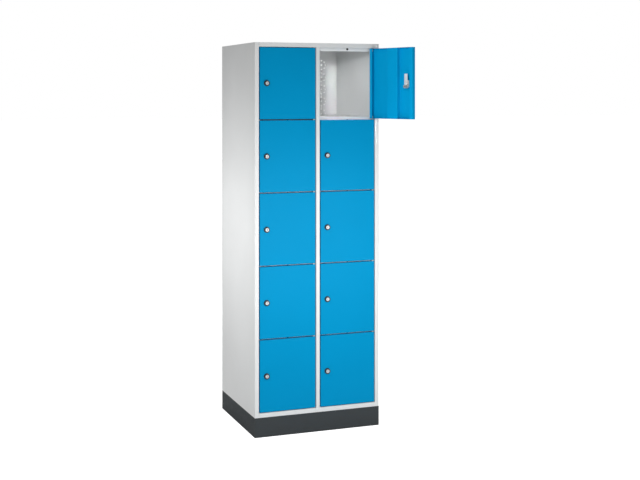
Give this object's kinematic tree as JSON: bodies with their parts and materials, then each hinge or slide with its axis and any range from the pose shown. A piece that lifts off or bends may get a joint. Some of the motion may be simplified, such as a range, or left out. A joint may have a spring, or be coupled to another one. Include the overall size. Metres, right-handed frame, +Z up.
{
  "type": "coin operated locker",
  "caption": "Steel locker with two columns of hinged compartments, a coin-return cam lock in each flush door, perforated back and a plinth.",
  "frame": {"origin": "on the floor, at the centre of the body's footprint, which is also the centre of the floor anchor holes; the open top right door is left out of the centring", "axes": "+Z up, -Y out of the doors, +X to the right when facing the doors"},
  "size_m": [0.6862, 0.7487, 1.8],
  "materials": {
    "body_paint": "light grey powder coat, fine texture",
    "door_paint": "light blue powder coat, fine texture",
    "plinth_paint": "anthracite powder coat, fine texture",
    "lock_zinc": "satin chrome on die-cast zinc",
    "lock_steel": "bright nickel plate",
    "gate_steel": "stamped stainless steel",
    "zinc_plated_steel": "zinc plated",
    "buffer_rubber": "black moulded rubber"
  },
  "bodies": {
    "cabinet": {"side_wall_left": "body_paint", "side_wall_right": "body_paint", "stile_left": "body_paint", "stile_right": "body_paint", "mullion": "body_paint", "centre_partition": "body_paint", "top_panel": "body_paint", "top_rail": "body_paint", "bottom_panel": "body_paint", "bottom_rail": "body_paint", "back_panel": "body_paint", "shelves_left": "body_paint", "shelves_right": "body_paint", "hinge_brackets": "zinc_plated_steel", "hinge_pins": "zinc_plated_steel", "door_buffers": "buffer_rubber", "plinth_frame": "plinth_paint", "plinth_bolts": "zinc_plated_steel", "rivet_nuts": "zinc_plated_steel"},
    "door_left_1": {"door_left_1": "door_paint", "lock_case_left_1": "lock_zinc"},
    "lock_left_1": {"lock_cam_left_1": "lock_steel"},
    "gate_left_1": {"coin_gate_left_1": "gate_steel"},
    "door_left_2": {"door_left_2": "door_paint", "lock_case_left_2": "lock_zinc"},
    "lock_left_2": {"lock_cam_left_2": "lock_steel"},
    "gate_left_2": {"coin_gate_left_2": "gate_steel"},
    "door_left_3": {"door_left_3": "door_paint", "lock_case_left_3": "lock_zinc"},
    "lock_left_3": {"lock_cam_left_3": "lock_steel"},
    "gate_left_3": {"coin_gate_left_3": "gate_steel"},
    "door_left_4": {"door_left_4": "door_paint", "lock_case_left_4": "lock_zinc"},
    "lock_left_4": {"lock_cam_left_4": "lock_steel"},
    "gate_left_4": {"coin_gate_left_4": "gate_steel"},
    "door_left_5": {"door_left_5": "door_paint", "lock_case_left_5": "lock_zinc"},
    "lock_left_5": {"lock_cam_left_5": "lock_steel"},
    "gate_left_5": {"coin_gate_left_5": "gate_steel"},
    "door_right_1": {"door_right_1": "door_paint", "lock_case_right_1": "lock_zinc"},
    "lock_right_1": {"lock_cam_right_1": "lock_steel"},
    "gate_right_1": {"coin_gate_right_1": "gate_steel"},
    "door_right_2": {"door_right_2": "door_paint", "lock_case_right_2": "lock_zinc"},
    "lock_right_2": {"lock_cam_right_2": "lock_steel"},
    "gate_right_2": {"coin_gate_right_2": "gate_steel"},
    "door_right_3": {"door_right_3": "door_paint", "lock_case_right_3": "lock_zinc"},
    "lock_right_3": {"lock_cam_right_3": "lock_steel"},
    "gate_right_3": {"coin_gate_right_3": "gate_steel"},
    "door_right_4": {"door_right_4": "door_paint", "lock_case_right_4": "lock_zinc"},
    "lock_right_4": {"lock_cam_right_4": "lock_steel"},
    "gate_right_4": {"coin_gate_right_4": "gate_steel"},
    "door_right_5": {"door_right_5": "door_paint", "lock_case_right_5": "lock_zinc"},
    "lock_right_5": {"lock_cam_right_5": "lock_steel"},
    "gate_right_5": {"coin_gate_right_5": "gate_steel"}
  },
  "joints": [
    {"name": "door_left_1_hinge", "type": "hinge", "parent": "cabinet", "child": "door_left_1", "pos_m": [-0.0195, -0.244, 1.613], "axis": [0, 0, 1], "range_deg": [0, 110]},
    {"name": "lock_left_1_turn", "type": "hinge", "parent": "door_left_1", "child": "lock_left_1", "pos_m": [-0.253, -0.25, 1.613], "axis": [0, -1, 0], "range_deg": [0, 90]},
    {"name": "gate_left_1_slide", "type": "slide", "parent": "door_left_1", "child": "gate_left_1", "axis": [0, 0, 1], "range_m": [0, 0.0041]},
    {"name": "door_left_2_hinge", "type": "hinge", "parent": "cabinet", "child": "door_left_2", "pos_m": [-0.0195, -0.244, 1.279], "axis": [0, 0, 1], "range_deg": [0, 110]},
    {"name": "lock_left_2_turn", "type": "hinge", "parent": "door_left_2", "child": "lock_left_2", "pos_m": [-0.253, -0.25, 1.279], "axis": [0, -1, 0], "range_deg": [0, 90]},
    {"name": "gate_left_2_slide", "type": "slide", "parent": "door_left_2", "child": "gate_left_2", "axis": [0, 0, 1], "range_m": [0, 0.0041]},
    {"name": "door_left_3_hinge", "type": "hinge", "parent": "cabinet", "child": "door_left_3", "pos_m": [-0.0195, -0.244, 0.945], "axis": [0, 0, 1], "range_deg": [0, 110]},
    {"name": "lock_left_3_turn", "type": "hinge", "parent": "door_left_3", "child": "lock_left_3", "pos_m": [-0.253, -0.25, 0.945], "axis": [0, -1, 0], "range_deg": [0, 90]},
    {"name": "gate_left_3_slide", "type": "slide", "parent": "door_left_3", "child": "gate_left_3", "axis": [0, 0, 1], "range_m": [0, 0.0041]},
    {"name": "door_left_4_hinge", "type": "hinge", "parent": "cabinet", "child": "door_left_4", "pos_m": [-0.0195, -0.244, 0.611], "axis": [0, 0, 1], "range_deg": [0, 110]},
    {"name": "lock_left_4_turn", "type": "hinge", "parent": "door_left_4", "child": "lock_left_4", "pos_m": [-0.253, -0.25, 0.611], "axis": [0, -1, 0], "range_deg": [0, 90]},
    {"name": "gate_left_4_slide", "type": "slide", "parent": "door_left_4", "child": "gate_left_4", "axis": [0, 0, 1], "range_m": [0, 0.0041]},
    {"name": "door_left_5_hinge", "type": "hinge", "parent": "cabinet", "child": "door_left_5", "pos_m": [-0.0195, -0.244, 0.277], "axis": [0, 0, 1], "range_deg": [0, 110]},
    {"name": "lock_left_5_turn", "type": "hinge", "parent": "door_left_5", "child": "lock_left_5", "pos_m": [-0.253, -0.25, 0.277], "axis": [0, -1, 0], "range_deg": [0, 90]},
    {"name": "gate_left_5_slide", "type": "slide", "parent": "door_left_5", "child": "gate_left_5", "axis": [0, 0, 1], "range_m": [0, 0.0041]},
    {"name": "door_right_1_hinge", "type": "hinge", "parent": "cabinet", "child": "door_right_1", "pos_m": [0.2795, -0.244, 1.613], "axis": [0, 0, 1], "range_deg": [-110, 0]},
    {"name": "lock_right_1_turn", "type": "hinge", "parent": "door_right_1", "child": "lock_right_1", "pos_m": [0.365, -0.46137, 1.613], "axis": [0.9397, 0.342, 0], "range_deg": [0, 90]},
    {"name": "gate_right_1_slide", "type": "slide", "parent": "door_right_1", "child": "gate_right_1", "axis": [0, 0, 1], "range_m": [0, 0.0041]},
    {"name": "door_right_2_hinge", "type": "hinge", "parent": "cabinet", "child": "door_right_2", "pos_m": [0.2795, -0.244, 1.279], "axis": [0, 0, 1], "range_deg": [0, 110]},
    {"name": "lock_right_2_turn", "type": "hinge", "parent": "door_right_2", "child": "lock_right_2", "pos_m": [0.046, -0.25, 1.279], "axis": [0, -1, 0], "range_deg": [0, 90]},
    {"name": "gate_right_2_slide", "type": "slide", "parent": "door_right_2", "child": "gate_right_2", "axis": [0, 0, 1], "range_m": [0, 0.0041]},
    {"name": "door_right_3_hinge", "type": "hinge", "parent": "cabinet", "child": "door_right_3", "pos_m": [0.2795, -0.244, 0.945], "axis": [0, 0, 1], "range_deg": [0, 110]},
    {"name": "lock_right_3_turn", "type": "hinge", "parent": "door_right_3", "child": "lock_right_3", "pos_m": [0.046, -0.25, 0.945], "axis": [0, -1, 0], "range_deg": [0, 90]},
    {"name": "gate_right_3_slide", "type": "slide", "parent": "door_right_3", "child": "gate_right_3", "axis": [0, 0, 1], "range_m": [0, 0.0041]},
    {"name": "door_right_4_hinge", "type": "hinge", "parent": "cabinet", "child": "door_right_4", "pos_m": [0.2795, -0.244, 0.611], "axis": [0, 0, 1], "range_deg": [0, 110]},
    {"name": "lock_right_4_turn", "type": "hinge", "parent": "door_right_4", "child": "lock_right_4", "pos_m": [0.046, -0.25, 0.611], "axis": [0, -1, 0], "range_deg": [0, 90]},
    {"name": "gate_right_4_slide", "type": "slide", "parent": "door_right_4", "child": "gate_right_4", "axis": [0, 0, 1], "range_m": [0, 0.0041]},
    {"name": "door_right_5_hinge", "type": "hinge", "parent": "cabinet", "child": "door_right_5", "pos_m": [0.2795, -0.244, 0.277], "axis": [0, 0, 1], "range_deg": [0, 110]},
    {"name": "lock_right_5_turn", "type": "hinge", "parent": "door_right_5", "child": "lock_right_5", "pos_m": [0.046, -0.25, 0.277], "axis": [0, -1, 0], "range_deg": [0, 90]},
    {"name": "gate_right_5_slide", "type": "slide", "parent": "door_right_5", "child": "gate_right_5", "axis": [0, 0, 1], "range_m": [0, 0.0041]}
  ],
  "couplings": [
    {"joint": "gate_left_1_slide", "follows": "lock_left_1_turn", "m_per_rad": 0.0026101},
    {"joint": "gate_left_2_slide", "follows": "lock_left_2_turn", "m_per_rad": 0.0026101},
    {"joint": "gate_left_3_slide", "follows": "lock_left_3_turn", "m_per_rad": 0.0026101},
    {"joint": "gate_left_4_slide", "follows": "lock_left_4_turn", "m_per_rad": 0.0026101},
    {"joint": "gate_left_5_slide", "follows": "lock_left_5_turn", "m_per_rad": 0.0026101},
    {"joint": "gate_right_1_slide", "follows": "lock_right_1_turn", "m_per_rad": 0.0026101},
    {"joint": "gate_right_2_slide", "follows": "lock_right_2_turn", "m_per_rad": 0.0026101},
    {"joint": "gate_right_3_slide", "follows": "lock_right_3_turn", "m_per_rad": 0.0026101},
    {"joint": "gate_right_4_slide", "follows": "lock_right_4_turn", "m_per_rad": 0.0026101},
    {"joint": "gate_right_5_slide", "follows": "lock_right_5_turn", "m_per_rad": 0.0026101}
  ]
}
